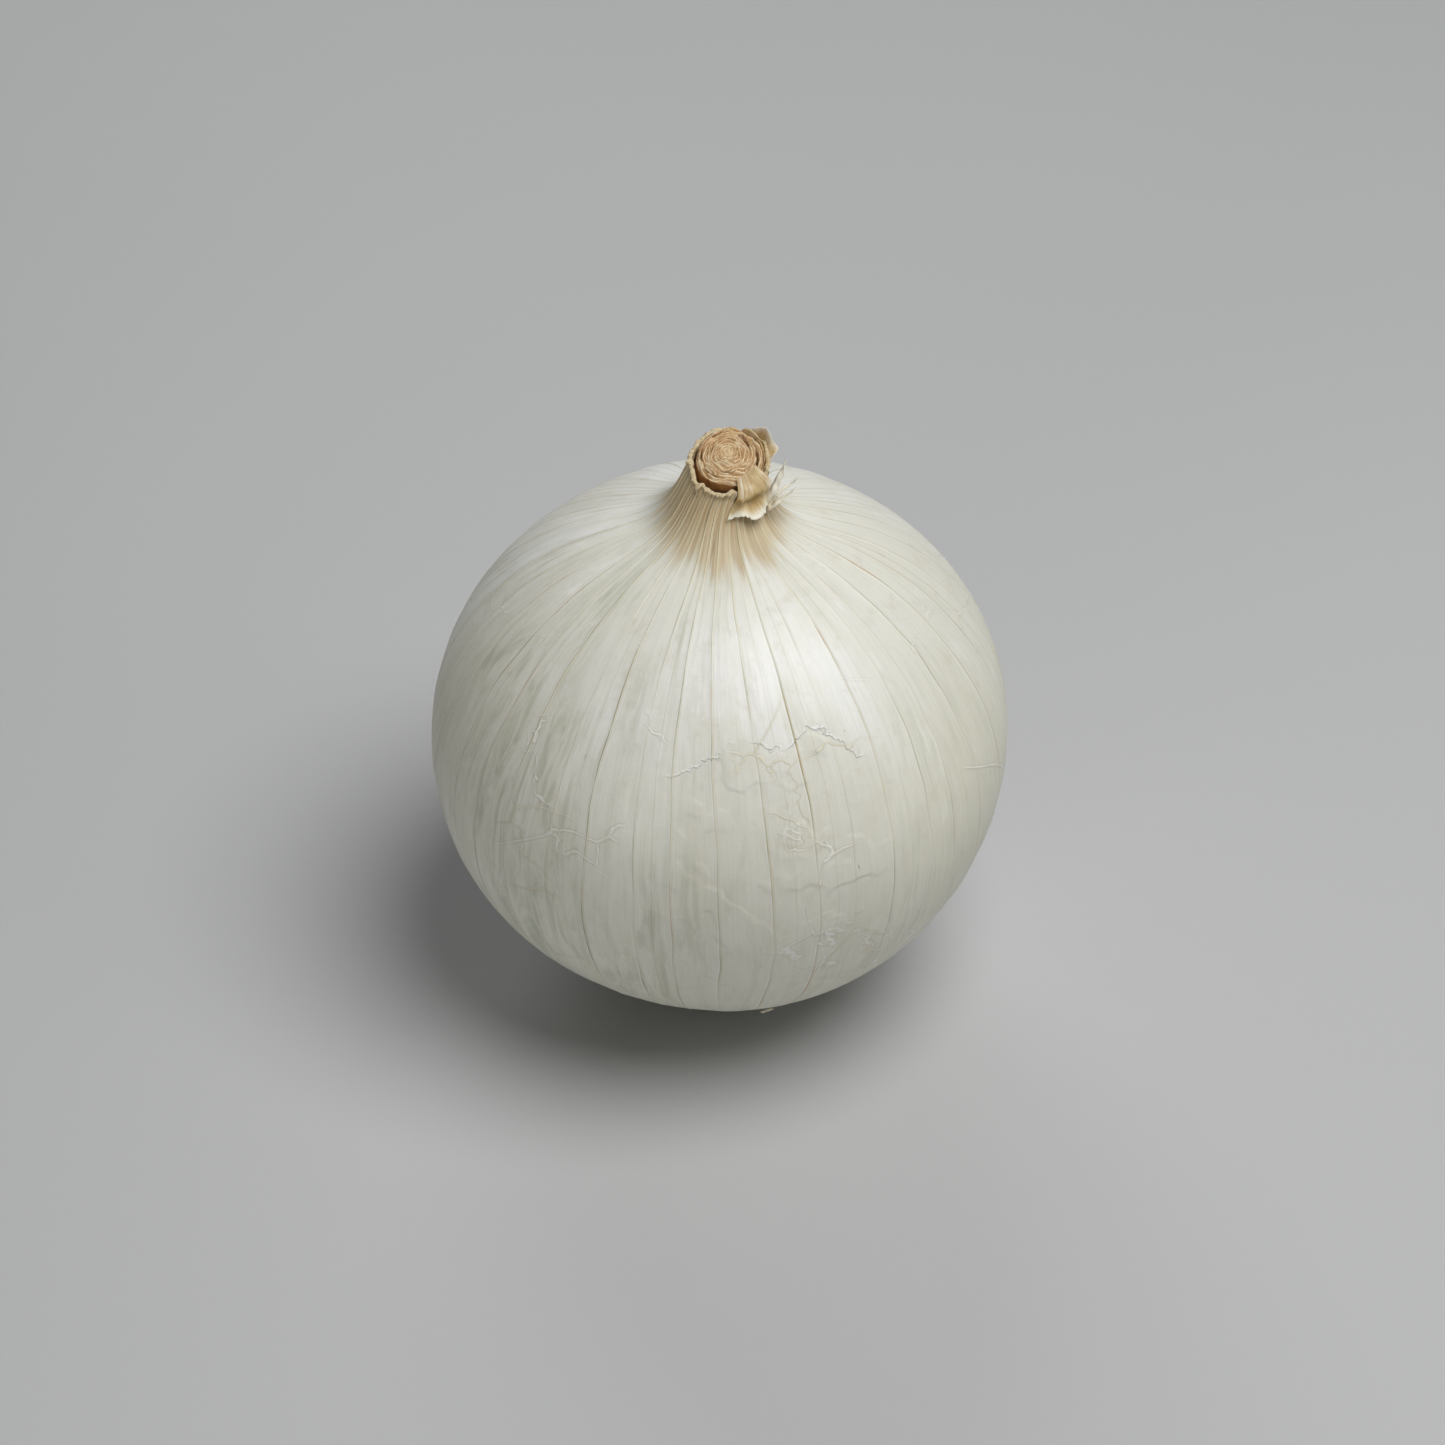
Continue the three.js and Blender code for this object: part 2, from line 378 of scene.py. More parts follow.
def makeBulb():
    # The profile turned round the axis, moved along its normal by slow dents, crumples, the
    # bulge between veins, exp(-(distance / width)^2) ridges on the veins and the neck's ribs.
    shape = bulbShape
    profile = bulbProfile()
    radius, height = profile[:, :1], profile[:, 1:]
    step = np.linalg.norm(np.diff(profile, axis=0), axis=1)
    length = np.concatenate([[0], np.cumsum(step)])[:, None]
    rimRow = int(np.argmax(height))
    fromRim = length[rimRow] - length  # mm down the outside; negative inside the collar
    equatorLength = float(fromRim[np.argmax(radius[:rimRow])])

    # Columns stand close together at each vein and wider between them.
    near = np.array([0.03, 0.075, 0.135, 0.21, 0.3, 0.4])
    offset = np.concatenate([[-0.5], -near[::-1], [0], near])
    veins = shape["veins"]
    number = np.repeat(np.arange(veins), len(offset))
    off = np.tile(offset, veins)[None, :]
    across = number + off[0]
    dice = np.random.default_rng(11)
    jitter = dice.uniform(-1, 1, veins) * shape["veinJitter"]
    shift = np.interp(across, np.arange(-1, veins + 1),
                      np.concatenate([jitter[-1:], jitter, jitter[:1]]))
    straight = ((across + shift) / veins * fullTurn)[None, :]
    wander = ripple("wander", straight, fromRim) + 0.22 * ripple("wanderMore", straight, fromRim)
    wander = wander + 0.07 * ripple("wanderFine", straight, fromRim)
    calm = smoothStep(0, 22, np.abs(fromRim)) * shape["veinWander"]
    angle = straight + wander * calm * fullTurn / veins

    # Angle 0 is the front, and it grows towards +X.
    points = triple(radius * np.sin(angle), -radius * np.cos(angle), height)
    normal = gridNormals(points, True)

    spacing = fullTurn * radius / veins
    veinPower = np.clip(0.8 + 0.2 * dice.standard_normal(veins), 0.4, 1.0)
    power = veinPower[number][None, :] * (0.75 + 0.35 * ripple("veinPower", straight, fromRim))
    power = np.clip(power, 0.08, 1.05)
    ridgeWidth = np.minimum(shape["ridgeWidth"], 0.13 * spacing)
    ridge = np.exp(-(off * spacing / ridgeWidth) ** 2) * power
    swell = dice.uniform(-0.6, 1.0, veins)
    after = np.where(off[0] >= 0, number, number - 1) % veins
    panel = swell[after][None, :] * (1 - (2 * np.abs(np.abs(off) - 0.5)) ** 2)

    outside = smoothStep(-0.2, 0.6, fromRim)
    neckShare = smoothStep(*shape["neckZone"], fromRim) * outside
    baseShare = smoothStep(*shape["baseZone"], radius)
    bodyShare = smoothStep(*shape["bodyZone"], fromRim) * baseShare
    pleats = 0.4 * ripple("pleats", straight, fromRim * 0.3) + 1.7 * ridge - 0.2
    move = ripple("unevenness", angle, fromRim) * shape["unevenness"] * bodyShare
    move = move + ripple("crumple", angle, fromRim) * shape["crumple"] * baseShare
    move = move + pleats * shape["pleats"] * neckShare
    move = move + ridge * shape["veinRidge"] * outside * baseShare
    move = move + panel * shape["panelBulge"] * bodyShare
    points = points + normal * move[..., None]

    # The rim is torn: it goes up and down with the angle, and it is crinkled into uneven lumps,
    # most of all at the front left.
    turned = np.angle(np.exp(1j * angle))  # from -pi to pi, 0 at the front
    level = 0 * fromRim
    nearRim = smoothStep(2.8, 0.0, np.abs(fromRim))
    tear = 0.5 * ripple("tear", angle, level) + 0.5 * ripple("tearMore", angle, level)
    tear = tear + 0.14 * ripple("tearFine", angle, level)
    points[..., 2] += tear * shape["ragged"] * nearRim ** 1.5
    crinkled = 0.06 + 0.94 * smoothStep(-0.35, 0.75, np.cos(turned + 0.55))
    lumps = ripple("lumps", angle, fromRim) + 0.6 * ripple("lumpsFine", angle, fromRim)
    lumps = lumps * (0.55 + 0.6 * ripple("lumpsPart", angle, fromRim)) * crinkled
    roll = shape["roll"] * smoothStep(1.5, 0.2, np.abs(fromRim)) * (0.5 + 0.5 * crinkled)
    outward = triple(np.sin(angle), -np.cos(angle), 0)
    points = points + outward * (lumps * shape["lumps"] * nearRim + roll)[..., None]
    points = leanNeck(points)

    # What the skin's material reads.
    around = across[None, :] / veins * fullTurn
    reach = veins / fullTurn
    place = triple(reach * np.cos(around), reach * np.sin(around), fromRim * reach / bulbRadius)
    warmth = ripple("warmth", straight, fromRim) * 0.5 + 0.5
    midPower = dice.uniform(0, 1, veins)[after][None, :] ** 2
    above = equatorLength - fromRim
    edge = shape["tornLength"] + 3.2 * np.sin(turned * 5.2 + 0.4) + 1.3 * np.sin(turned * 17 + 1.0)
    edge = edge + 1.1 * np.abs(np.sin(turned * 11.5))
    edge = edge + shape["tornBack"] * (1 - np.cos(turned - 0.2))
    seen = smoothStep(-0.34, -0.05, turned) * smoothStep(0.75, 0.45, turned)
    seen = np.maximum(seen, smoothStep(2.0, 2.3, turned) * 0.8)
    # Painted shade: this mask makes the skin greener and darker towards the front left.
    paintedLeftShade = 0.5 + 0.5 * np.cos(turned + 0.95)  # the skin is greener at the front left
    dryReach = shape["dryReach"] + 1.9 * np.cos(turned + 0.05) + np.cos(2 * turned - 0.6)
    marks = {
        "skinPlace": place,
        "veinLine": triple(np.abs(off) * spacing, power, warmth),
        "midLine": triple((0.5 - np.abs(off)) * spacing, midPower, off * spacing),
        "tornEdgeAndLeftShade": triple(edge - above, seen, paintedLeftShade),
        "dryNeck": triple(fromRim, neckShare, dryReach),
    }
    piece = turnedPiece("onion_bulb", points, marks)
    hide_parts("bulb")
    return piece


skinLook = {
    "pearl": (0.825, 0.825, 0.80),
    "cream": (0.735, 0.73, 0.645),
    "low": (0.71, 0.70, 0.52),          # the yellower skin low on the bulb
    "greenGrey": (0.50, 0.51, 0.40),
    "veinOlive": (0.405, 0.375, 0.18),
    "veinCream": (0.74, 0.68, 0.47),
    "veinRust": (0.50, 0.285, 0.095),
    "underSkin": (0.68, 0.665, 0.575),
    "speck": (0.19, 0.15, 0.10),
    "tan": (0.45, 0.30, 0.135),
    "brown": (0.235, 0.15, 0.07),
    "straw": (0.66, 0.53, 0.32),
    "dull": (0.53, 0.485, 0.36),
    "crease": (0.90, 0.895, 0.86),
    "finish": {"Subsurface Weight": 0.12, "Subsurface Radius": (1.0, 0.9, 0.6),
               "Subsurface Scale": 0.0025, "Specular IOR Level": 0.5,
               "Coat Weight": 0.12, "Coat Roughness": 0.3},
}

# Noises that run with the skin: scale (round the bulb, round it, along it), detail, roughness,
# shift and distortion.
skinPatterns = {
    "clouds": ((0.22, 0.22, 0.16), 3.0),
    "mottle": ((1.1, 1.1, 0.6), 4.0, 0.65, (4, 0, 2)),
    "fibre": ((4.2, 4.2, 0.2), 4.0, 0.65),
    "fineFibre": ((12.0, 12.0, 0.4), 3.0, 0.65),
    "silk": ((26.0, 26.0, 0.9), 2.0, 0.6),
    "streak": ((2.6, 2.6, 0.42), 5.0, 0.7, (3.1, 1.7, 0), 0.8),
    "patch": ((0.34, 0.34, 0.3), 3.0, 0.55, (0.6, 4.0, 1.0)),
    "breakUp": ((0.8, 0.8, 0.9), 3.0, 0.6, (7, 2, 5)),
    "rust": ((0.42, 0.42, 0.3), 2.0, 0.5, (2.5, 8.5, 1.5)),
    "grit": ((7.0, 7.0, 2.2), 1.0, 0.4, (1.2, 0.7, 9.0)),
    "tongue": ((1.5, 1.5, 0.16), 4.0, 0.65, (5, 5, 0), 0.4),
    "thread": ((2.6, 2.6, 0.2), 3.0, 0.6, (0, 3, 2), 0.3),
    "stain": ((1.7, 1.7, 0.4), 3.0, 0.65, (9, 1, 4)),
}

# Noises with no direction: scale per metre, detail, roughness and shift.
skinGrains = {
    "freckle": (300, 4.0, 0.7),
    "jag": (520, 4.0, 0.65),
    "lipPart": (130, 2.0, 0.5, (2.2, 0.3, 0.9)),
    "bend": (130, 3.0, 0.5),
    "paper": (420, 3.0, 0.6),
    "wrinkle": (1150, 4.0, 0.6),
}

# Tints in the order that they are laid: colour, pattern, the pattern's values where the tint
# starts and is full, its share there, and whether it fades at the neck.
skinTints = [
    ("cream", "mottle", 0.42, 0.66, 0.6, False),
    ("crease", "mottle", 0.42, 0.3, 0.5, False),
    ("dull", "freckle", 0.52, 0.72, 0.28, False),
    ("low", "fromRim", 30, 56, 0.42, False),
    ("cream", "fibre", 0.44, 0.7, 0.18, True),
    ("crease", "fineFibre", 0.5, 0.72, 0.2, True),
    ("dull", "fineFibre", 0.46, 0.28, 0.13, True),
    # The pale silk streaks are partly the fibres' own tone and partly painted sheen.
    ("crease", "silk", 0.5, 0.7, 0.25, True),
]

tornLook = {
    "jag": 5.0,                 # mm, how far the noise shifts the edge
    "edgeAt": 2.35,
    "blendOver": 0.4,
    "lipWidth": (0.36, 0.08),   # mm, where the bright lip ends and where it is full
    "under": 0.34,              # share of the next skin's colour
    "step": -0.1,               # mm down to the next skin
    "lip": 0.08,                # mm, height of the lip
}

veinLook = {
    "width": (0.15, 0.04),      # mm from the ridge, where the line ends and where it is full
    "share": 0.88,
    "haloWidth": (0.9, 0.1),
    "halo": 0.15,
    "midWidth": (0.13, 0.03),
    "mid": 0.5,
    # The dull line beside each vein is painted shade, and the bright line on its other side is a
    # painted highlight.
    "sideWidth": (0.14, 0.02),
    "shadeAt": 0.21,            # mm to one side, a dull line
    "shade": 0.42,
    "lightWidth": (0.13, 0.02),
    "lightAt": -0.2,            # mm to the other side, a bright line
    "light": 0.75,
    "height": 0.07,             # mm
}

# Two networks of creases: cells per metre, half width in cells, scale and lowest value of the
# noise that shows parts of them, and colour.
creaseNets = [
    (50.0, 0.0085, 46, 0.45, "crease"),
    (74.0, 0.009, 60, 0.52, "veinCream"),
]
creaseLook = {
    "share": 0.6,
    "shade": 0.34,              # share of the dull line beside each crease
    "bend": (0.011, -0.009, 0.01),      # metres along each axis, per unit of noise
    "height": 0.05,             # mm
}

dryStreaks = {
    "tongues": -13.0,           # mm, how far the noise draws the streaks out
    "reachBack": 6.5,
    "soft": (4.5, -2.0),        # mm from the end of the streaks, where the tint starts and is full
    "hard": (1.8, -2.4),
    "softShare": 0.42,
    "hardShare": 0.92,
}


def makeSkinMaterial():
    # Colour: pearl and cream in clouds, then tints, the silk tint partly painted sheen, patches with
    # painted shade at the front left, the torn edge with a partly painted highlight, veins with lines
    # of painted shade and painted highlight beside them, creases, specks and the dry neck with
    # painted shade inside the collar, each laid over the last. Relief: the sum of the patterns, each
    # times its height.
    look = skinLook
    material, tree, shader = newMaterial("pearly onion skin")
    place = readAttribute(tree, "skinPlace")
    spot = objectPlace(tree)
    vein = readParts(tree, "veinLine")
    mid = readParts(tree, "midLine")
    torn = readParts(tree, "tornEdgeAndLeftShade")
    dry = readParts(tree, "dryNeck")
    noise = {name: stretchedNoise(tree, place, *spec) for name, spec in skinPatterns.items()}
    noise.update({name: stretchedNoise(tree, spot, *spec) for name, spec in skinGrains.items()})
    noise["fromRim"] = dry[0]

    far = fade(tree, dry[0], 9, 30, 0.12, 1.0)
    color = blend(tree, fade(tree, noise["clouds"], 0.35, 0.68), look["pearl"], look["cream"])
    for tint, pattern, low, high, share, fadesAtNeck in skinTints:
        part = fade(tree, noise[pattern], low, high, 0.0, share)
        color = layer(tree, color, look[tint], times(tree, part, far) if fadesAtNeck else part)

    # Grey-green streaks and patches, weighted towards the front left: partly the skin's own mottling,
    # partly painted shade.
    patchAndShadeShare = times(tree, fade(tree, noise["patch"], 0.38, 0.62, 0.2, 0.85),
                       timesPlus(tree, torn[2], 0.85, 0.12))
    streakAndShadeShare = times(tree, fade(tree, noise["streak"], 0.42, 0.68), patchAndShadeShare)
    color = layer(tree, color, look["greenGrey"], streakAndShadeShare)

    # Below the torn edge the next skin shows, a little duller; parts of the edge are bright, partly
    # the torn skin's own pale edge and partly a painted highlight.
    edgeAt = tornLook["edgeAt"]
    below = timesPlus(tree, noise["jag"], tornLook["jag"], torn[0])
    belowShare = fade(tree, below, edgeAt, edgeAt + tornLook["blendOver"])
    tornShare = times(tree, belowShare, torn[1])
    color = layer(tree, color, look["underSkin"], tornShare, tornLook["under"])
    lipPart = times(tree, fade(tree, noise["lipPart"], 0.44, 0.52), torn[1])
    lip = times(tree, fade(tree, distanceTo(tree, below, edgeAt), *tornLook["lipWidth"]), lipPart)
    color = layer(tree, color, look["crease"], lip)

    # Veins: a thin line on each ridge, olive or cream, and rusty along some stretches, with a line of
    # painted shade on one side and a painted highlight line on the other.
    line = times(tree, fade(tree, vein[0], *veinLook["width"]), vein[1])
    line = times(tree, line, fade(tree, noise["breakUp"], 0.36, 0.58, 0.45, 1.0))
    rustShare = times(tree, fade(tree, noise["rust"], 0.58, 0.66), fade(tree, vein[2], 0.2, 0.45))
    veinPale = times(tree, fade(tree, vein[2], 0.3, 0.75), fade(tree, dry[0], 20, 34, 1.0, 0.75))
    veinPale = calc(tree, "MAXIMUM", veinPale, fade(tree, dry[0], 24, 11))
    veinColor = blend(tree, veinPale, look["veinOlive"], look["veinCream"])
    veinColor = blend(tree, rustShare, veinColor, look["veinRust"])
    halo = fade(tree, vein[0], *veinLook["haloWidth"])
    color = layer(tree, color, look["cream"], halo, veinLook["halo"])
    # Painted shade and painted highlight lines beside each vein.
    for tint, at, width, share in (
            ("dull", veinLook["shadeAt"], veinLook["sideWidth"], veinLook["shade"]),
            ("crease", veinLook["lightAt"], veinLook["lightWidth"], veinLook["light"])):
        side = fade(tree, distanceTo(tree, mid[2], at), *width, 0.0, share)
        color = layer(tree, color, look[tint], times(tree, times(tree, side, vein[1]), far))
    midLine = times(tree, fade(tree, mid[0], *veinLook["midWidth"]), mid[1])
    color = layer(tree, color, look["veinOlive"], midLine, veinLook["mid"])
    color = layer(tree, color, veinColor, line, veinLook["share"])

    # Creases: broken pieces of networks of lines, each with a faint shade beside it.
    shift = {axis: times(tree, noise["bend"], amount)
             for axis, amount in enumerate(creaseLook["bend"])}
    shift = addNode(tree, "ShaderNodeCombineXYZ", shift).outputs[0]
    bent = addNode(tree, "ShaderNodeVectorMath", {0: spot, 1: shift}, operation="ADD").outputs[0]
    body = fade(tree, dry[0], 27, 40)
    creases = 0.0
    for scale, width, shownScale, low, tint in creaseNets:
        away = addNode(tree, "ShaderNodeTexVoronoi", {"Vector": bent, "Scale": scale},
                       feature="DISTANCE_TO_EDGE").outputs["Distance"]
        shown = stretchedNoise(tree, spot, shownScale, 2.0, 0.5, (0.4, 0.3, scale))
        shown = times(tree, fade(tree, shown, low, low + 0.1), body)
        crease = times(tree, fade(tree, away, width, width * 0.2), shown)
        shade = fade(tree, distanceTo(tree, away, width * 1.6), width * 0.85, 0.0, 0.0,
                     creaseLook["shade"])
        color = layer(tree, color, look[tint], crease, creaseLook["share"])
        color = layer(tree, color, look["dull"], times(tree, shade, shown))
        creases = calc(tree, "ADD", crease, creases)

    # Small dark specks, longer than wide.
    color = layer(tree, color, look["speck"], fade(tree, noise["grit"], 0.80, 0.84), 0.6)

    # The skin dries to tan and straw towards the cut neck, in streaks that end unevenly.
    dryFrom = calc(tree, "SUBTRACT", timesPlus(tree, noise["tongue"], dryStreaks["tongues"], dry[0]),
                   calc(tree, "SUBTRACT", dry[2], dryStreaks["reachBack"]))
    drySoft = fade(tree, dryFrom, *dryStreaks["soft"])
    dryHard = fade(tree, dryFrom, *dryStreaks["hard"])
    tanColor = blend(tree, fade(tree, noise["thread"], 0.38, 0.66), look["tan"], look["straw"])
    tanColor = layer(tree, tanColor, look["dull"], fade(tree, dry[0], 4.0, 9.0, 0.0, 0.4))
    color = layer(tree, color, look["dull"], drySoft, dryStreaks["softShare"])
    color = layer(tree, color, tanColor, dryHard, dryStreaks["hardShare"])
    stainShare = times(tree, fade(tree, noise["stain"], 0.55, 0.68), drySoft)
    color = layer(tree, color, look["brown"], stainShare, 0.45)
    ribPale = times(tree, fade(tree, vein[0], 0.15, 0.03),
                    times(tree, drySoft, fade(tree, vein[1], 0.1, 0.7, 0.25, 1.0)))
    color = layer(tree, color, look["veinCream"], ribPale, 0.85)
    rimAway = calc(tree, "ABSOLUTE", dry[0])
    color = layer(tree, color, look["straw"], fade(tree, rimAway, 0.5, 0.1), 0.6)
    # Inside the collar the colour turns dark brown: partly the dry skin's own brown, partly painted
    # shade in the gap round the core.
    color = layer(tree, color, look["brown"], fade(tree, dry[0], -0.5, -2.0), 0.85)

    rough = stack(tree, 0.3, ((noise["clouds"], 0.16), (noise["fineFibre"], 0.22),
                              (tornShare, 0.06), (dryHard, 0.28)))
    relief = stack(tree, times(tree, noise["fibre"], 0.035),
                   ((noise["fineFibre"], 0.03), (noise["silk"], 0.014)))
    relief = stack(tree, times(tree, relief, far), (
        (noise["paper"], 0.05), (creases, creaseLook["height"]),
        (times(tree, belowShare, lipPart), tornLook["step"]), (lip, tornLook["lip"]),
        (line, veinLook["height"]), (noise["wrinkle"], fade(tree, rimAway, 2.2, 0.3, 0.0, 0.5)),
        (times(tree, noise["thread"], dry[1]), 0.1)))
    finishSurface(tree, shader, color, rough, relief, look["finish"])
    return material


coreShape = {
    "radius": 4.5,
    "rings": 9.5,
    "spiral": 1.0,
    "swirl": (-0.75, 0.3),    # mm, middle of the rings from the middle of the core
    "dome": 0.6,
    "groove": 0.3,
    # The few open slits between rings: share of the radius, degrees from +X, half of their span.
    "slits": ((0.84, 113, 18), (0.72, 58, 11), (0.66, 34, 14), (0.86, 222, 18), (0.5, 160, 12),
              (0.64, 262, 14), (0.83, 355, 22), (0.86, 175, 14)),
    "slitDepth": 0.8,
    "drop": 4.0,              # mm of side wall that is made
    "tilt": 1.5,              # degrees more than the collar's cut
    "lift": 0.55,             # mm above the collar's rim
    "offset": (0.05, 0.28),
}


def makeCore():
    # Height over a disc: a dome, plus ridges where the radius in ring spacings, less the angle's
    # share of a turn, is half way between whole numbers. The last rows are the side wall.
    shape = coreShape
    columns, rings, wallRows = 320, 150, 22
    angle = np.linspace(0, fullTurn, columns, endpoint=False)[None, :]
    share = np.linspace(0.008, 1, rings)[:, None]
    oval = 1 + 0.05 * np.cos(2 * angle + 0.7) * share + 0.03 * np.cos(3 * angle + 2) * share
    radius = shape["radius"] * share * oval
    rough = waves(31, angle, share * 7, (1, 6), 0.5, 16)
    fine = waves(32, angle, share * 22, (9, 34), 0.8, 30)
    phase = share * shape["rings"] - shape["spiral"] * angle / fullTurn
    phase = phase + 0.4 * rough * smoothStep(0, 0.3, share) + 0.1 * fine * share
    part = phase - np.floor(phase)
    sheet = np.exp(-((part - 0.5) / 0.17) ** 2)
    between = np.exp(-((np.abs(part - 0.5) - 0.5) / 0.1) ** 2)  # a thinner sheet between two others
    torn = np.clip(0.7 + 0.42 * waves(33, angle, share * 9, (2, 9), 0.6, 16), 0.1, 1.2)
    half = np.clip(0.3 + 0.5 * waves(37, angle, share * 8, (2, 8), 0.6, 16), 0.0, 0.8)
    sheet = sheet * torn + between * half
    grain = waves(34, angle, share * 16, (6, 36), 0.8, 36) * smoothStep(0.05, 0.4, share)
    turned = np.degrees(angle)
    gaps = np.zeros(phase.shape)
    for at, degrees, span in shape["slits"]:
        line = np.exp(-((share - at - 0.018 * rough) / 0.026) ** 4)
        away = (turned - degrees + 180) % 360 - 180
        gaps = np.maximum(gaps, line * np.exp(-np.abs(away / span) ** 3))
    height = shape["dome"] * (1 - share ** 2) + shape["groove"] * (sheet - 0.5)
    height = height + 0.016 * grain + 0.16 * rough * share - shape["slitDepth"] * gaps
    height = height - 0.3 * smoothStep(0.92, 1.0, share)
    middle = np.array(shape["swirl"]) * (1 - share[..., None] ** 1.5)
    x = radius * np.cos(angle) + middle[..., 0]
    y = radius * np.sin(angle) + middle[..., 1]
    top = triple(x, y, height)

    down = np.linspace(0, 1, wallRows)[1:, None]
    bulge = 1 - 0.05 * down + 0.012 * waves(35, angle, down * 3, (10, 40), 0.3, 16)
    side = triple(x[-1:] * bulge, y[-1:] * bulge, height[-1:] - shape["drop"] * down)
    points = np.concatenate([top, side])
    points[..., 2] += points[..., 1] * math.tan(math.radians(shape["tilt"]))
    points[..., 0] += shape["offset"][0]
    points[..., 1] += shape["offset"][1]
    points[..., 2] += rimHeight + shape["lift"]
    points = leanNeck(points)
    # Low ridge values are painted dark in the grooves and slits, as painted shade.
    ridge = 0.18 + 0.8 * sheet + 0.08 * grain
    ridge = np.clip(ridge, 0.12, 1) * (1 - gaps)
    ridge = np.concatenate([ridge, np.zeros((wallRows - 1, columns))])
    tone = np.concatenate([share + 0 * angle, 1 + down + 0 * angle])
    wide = np.concatenate([rough, np.repeat(rough[-1:], wallRows - 1, 0)])
    piece = turnedPiece("neck_rings", points, {"ringMark": triple(ridge, tone, wide)})
    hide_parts("neck_core")
    return piece


dryLook = {
    "ridge": (0.72, 0.525, 0.29),
    "pale": (0.88, 0.745, 0.51),
    "groove": (0.36, 0.20, 0.085),
    "paintedDeepShade": (0.11, 0.05, 0.02),
    "wallBrown": (0.42, 0.185, 0.055),
    "paperGold": (0.43, 0.285, 0.105),
    "paperStraw": (0.62, 0.485, 0.265),
    "paperPale": (0.84, 0.80, 0.68),
    "paperBrown": (0.33, 0.2, 0.085),
    "shredPale": (0.87, 0.83, 0.71),
    "shredGrey": (0.62, 0.58, 0.46),
    "rootTan": (0.42, 0.31, 0.19),
    "rootDark": (0.13, 0.085, 0.05),
}


def makeCoreMaterial():
    # Colour: from groove to pale with the height of the rings, which paints shade in the grooves and
    # slits and partly paints highlight on the ridges; darker between the outer rings as painted
    # shade, paler in the middle, and brown on the side wall, darkening downward as painted shade.
    look = dryLook
    material, tree, shader = newMaterial("dried leaf rings")
    ridge, tone, rough = readParts(tree, "ringMark")
    spot = objectPlace(tree)
    cloud = stretchedNoise(tree, spot, 500, 3.0, 0.6)
    grain = stretchedNoise(tree, spot, (1700, 1700, 1400), 4.0, 0.65)
    ridgeColor = blend(tree, fade(tree, cloud, 0.38, 0.62), look["ridge"], look["pale"])
    color = blend(tree, fade(tree, ridge, 0.12, 0.62), look["groove"], ridgeColor)
    # Painted shade: darker between the outer rings, and down the side wall.
    outer = times(tree, fade(tree, tone, 0.45, 0.8), fade(tree, rough, -0.1, 0.8, 0.0, 0.25))
    sideColor = blend(tree, fade(tree, tone, 1.28, 1.6), look["wallBrown"], look["paintedDeepShade"])
    # Pale ridge tops are partly painted highlight, and the darkest colour in groove bottoms and slits
    # is painted shade; the grain tint is the rings' own tone.
    for tint, share in (
            (look["pale"], fade(tree, ridge, 0.75, 1.0, 0.0, 0.6)),
            (look["paintedDeepShade"], fade(tree, ridge, 0.1, 0.0, 0.0, 0.85)),
            (look["groove"], fade(tree, grain, 0.55, 0.75, 0.0, 0.3)),
            (look["groove"], outer),
            (look["pale"], fade(tree, tone, 0.3, 0.05, 0.0, 0.5)),
            (sideColor, fade(tree, tone, 1.0, 1.04))):
        color = layer(tree, color, tint, share)
    finishSurface(tree, shader, color, timesPlus(tree, cloud, 0.2, 0.65), times(tree, grain, 0.12),
                  {"Specular IOR Level": 0.3})
    return material


def collarPoint(degrees, radius, height):
    # A point round the neck: degrees from the front towards +X, before the neck's lean.
    turn = np.radians(degrees)
    return triple(radius * np.sin(turn), -radius * np.cos(turn), height)


def raggedEdge(seed, along, amount, waviness=(3, 14)):
    # One closed wavy line with small sharp teeth, for the torn edge of a sheet.
    broad = waves(seed, along * 2.2, 0 * along, waviness, 0, 9)
    teeth = np.abs(waves(seed + 1, along * 2.2, 0 * along, (20, 60), 0, 9))
    return amount * (0.9 * broad + 0.2 * teeth)


sheaths = [
    # degrees from and to, radius, height above the rim, thickness, seed
    {"from": -160, "to": -40, "radius": 4.98, "rise": -0.7, "thick": 0.16, "seed": 41},
    {"from": 40, "to": 176, "radius": 4.95, "rise": 0.75, "thick": 0.16, "seed": 44},
    {"from": 52, "to": 140, "radius": 4.66, "rise": 0.7, "thick": 0.14, "seed": 47},
    {"from": 150, "to": 235, "radius": 4.95, "rise": 0.35, "thick": 0.16, "seed": 50},
]


def makeSheath(index, spec):
    # A thin upright strip round part of the core, with a torn top edge.
    across = np.linspace(0, 1, 120)[None, :]
    down = np.linspace(0, 1, 26)[:, None]
    degrees = spec["from"] + (spec["to"] - spec["from"]) * across
    turn = np.radians(degrees)
    taper = smoothStep(0, 0.16, across) * smoothStep(1, 0.84, across)
    top = spec["rise"] * taper - 0.8 * (1 - taper) + raggedEdge(spec["seed"], turn, 0.16, (1, 6))
    height = rimHeight + top - down * 4.2
    sway = waves(spec["seed"] + 3, turn, height, (2, 7), 0.08, 8) * 0.11
    sway = sway + waves(spec["seed"] + 4, turn, height, (9, 18), 0.15, 12) * 0.03
    points = leanNeck(collarPoint(degrees, spec["radius"] + sway, height))
    # The sway marks hollows, which the material paints gold as painted shade.
    mark = triple(down, across, sway)
    thickness = spec["thick"] * (0.55 + 0.45 * np.minimum(1, down * 4))
    return paperSheet(f"neck_sheath_{index}", points[::-1], thickness[::-1], mark[::-1])


flapShape = {
    "from": 9, "to": 60,      # degrees from the front towards +X
    "start": 3.5,             # mm, radius at which it comes out of the core
    "drops": (4.7, 4.1, 5.2, 5.0, 4.4),   # mm down the collar at even steps from left to right
    "standOff": 0.3,
    "hemTurn": 1.0,
    "thickness": 0.17,
}


